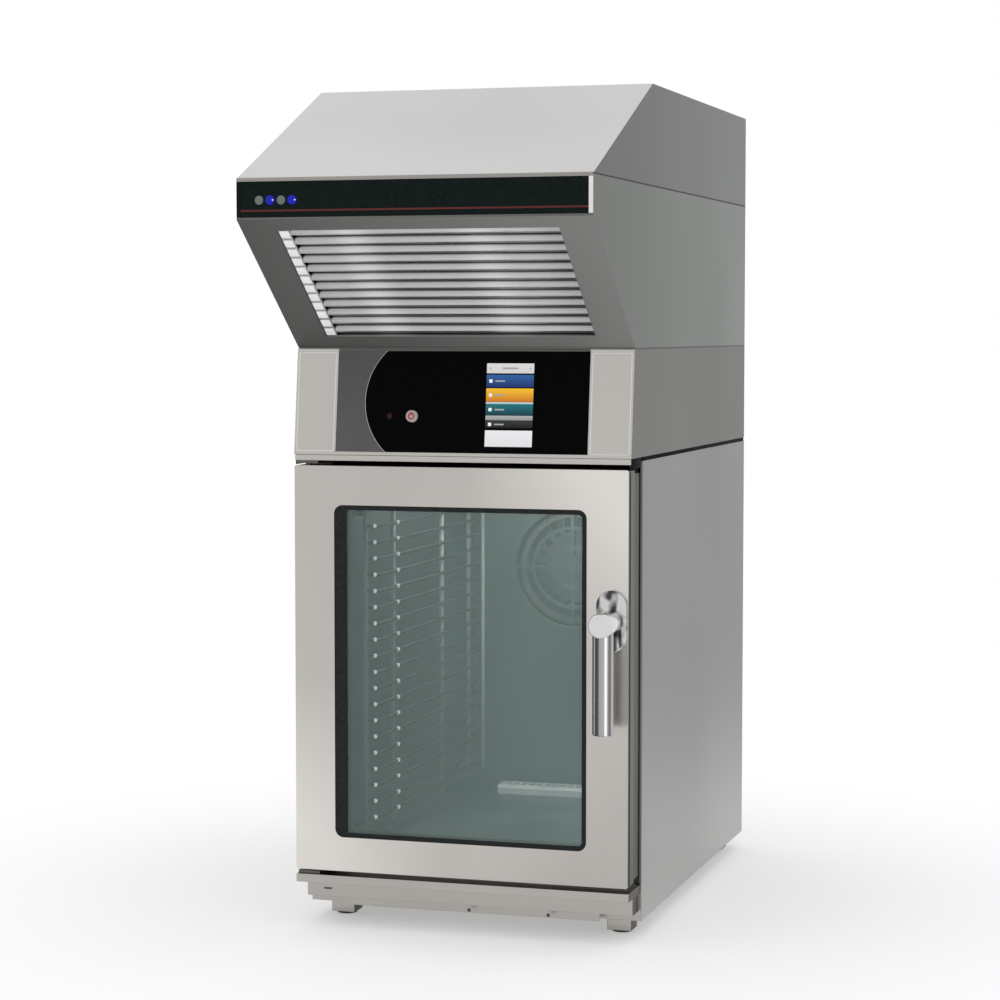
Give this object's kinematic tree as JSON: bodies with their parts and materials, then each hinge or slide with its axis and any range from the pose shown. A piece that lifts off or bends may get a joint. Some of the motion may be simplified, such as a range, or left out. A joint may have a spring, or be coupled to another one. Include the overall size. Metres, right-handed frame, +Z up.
{
  "type": "combi oven with ventless hood",
  "caption": "Slim upright combi oven on levelling feet: glazed hinged door with a turning lever, leaning control panel, and a ventless hood with a baffle filter on top.",
  "frame": {"origin": "on the floor, under the middle of the outline from the hood's nose to the rear fittings", "axes": "+Z up, the door faces -Y, +X to the right as seen from the front"},
  "size_m": [0.515, 1.0362, 1.25],
  "materials": {
    "steel": "satin brushed",
    "polished_steel": "polished",
    "door_glass": "tinted clear",
    "black_metal": "matte",
    "motor_paint": "satin",
    "foot_plastic": "matte",
    "mineral_wool": "fibrous",
    "filter_media": "matte",
    "seal_rubber": "matte",
    "brass": "machined",
    "lamp_glass": "frosted",
    "grey_plastic": "satin",
    "black_glass": "gloss",
    "black_gloss": "gloss",
    "display": "lit",
    "red_lens": "gloss",
    "circuit_board": "satin",
    "black_plastic": "matte",
    "grey_lens": "gloss",
    "button_white": "gloss",
    "blue_lens": "lit",
    "aluminium": "cast"
  },
  "bodies": {
    "cabinet": {"leveling_feet": "foot_plastic", "base_pan": "steel", "plinth_panel": "steel", "drip_tray": "steel", "left_side_panel": "steel", "right_side_panel": "steel", "back_panel": "steel", "top_deck": "steel", "front_frame": "steel", "cavity_liner": "steel", "insulation": "mineral_wool", "door_gasket": "seal_rubber", "left_rack": "steel", "right_rack": "steel", "rack_studs": "steel", "fan_baffle": "steel", "fan_motor": "motor_paint", "heating_element": "steel", "steam_injector": "steel", "drain_strainer": "steel", "drain_pipe": "steel", "water_valves": "brass", "cable_gland": "black_plastic", "vent_pipe": "steel", "oven_lamp": "lamp_glass", "temperature_sensor": "steel", "hinge_brackets": "steel", "latch_keeper": "steel", "control_housing": "steel", "housing_rail": "black_metal", "control_fascia": "steel", "fascia_insert": "grey_plastic", "control_glass": "black_glass", "display_module": "display", "status_lens": "red_lens", "control_board": "circuit_board", "power_contactor": "black_plastic", "hood_body": "steel", "hood_cap": "steel", "hood_fascia": "black_gloss", "hood_lenses": "grey_lens", "baffle_filter": "steel", "blower_plate": "steel", "blower_motor": "motor_paint", "charcoal_filter": "filter_media"},
    "door": {"door_skin": "steel", "door_liner": "steel", "outer_glass": "door_glass", "inner_glass": "door_glass", "glass_spacer": "black_metal", "handle_rosette": "polished_steel", "spindle_sleeve": "brass", "hinge_bushes": "brass"},
    "handle": {"door_lever": "polished_steel", "latch_spindle": "steel"},
    "fan": {"fan_wheel": "steel"},
    "blower": {"blower_wheel": "aluminium"},
    "power": {"power_button": "button_white"},
    "hood_left": {"hood_button_left": "blue_lens"},
    "hood_right": {"hood_button_right": "blue_lens"}
  },
  "joints": [
    {"name": "door_hinge", "type": "hinge", "parent": "cabinet", "child": "door", "pos_m": [-0.239, -0.2889, 0.39], "axis": [0, 0, -1], "range_deg": [0, 120]},
    {"name": "handle_turn", "type": "hinge", "parent": "door", "child": "handle", "pos_m": [0.231, -0.3069, 0.475], "axis": [0, 1, 0], "range_deg": [0, 90]},
    {"name": "fan_spin", "type": "hinge", "parent": "cabinet", "child": "fan", "pos_m": [0, 0.3366, 0.491], "axis": [0, 1, 0], "continuous": true},
    {"name": "blower_spin", "type": "hinge", "parent": "cabinet", "child": "blower", "pos_m": [0, 0.1331, 0.98475], "axis": [0, 1, 0], "continuous": true},
    {"name": "power_press", "type": "slide", "parent": "cabinet", "child": "power", "axis": [0, 0.9934, -0.1146], "range_m": [0, 0.001], "stiffness_N_per_m": 600},
    {"name": "hood_left_press", "type": "slide", "parent": "cabinet", "child": "hood_left", "axis": [0, 1, 0], "range_m": [0, 0.001], "stiffness_N_per_m": 600},
    {"name": "hood_right_press", "type": "slide", "parent": "cabinet", "child": "hood_right", "axis": [0, 1, 0], "range_m": [0, 0.001], "stiffness_N_per_m": 600}
  ]
}
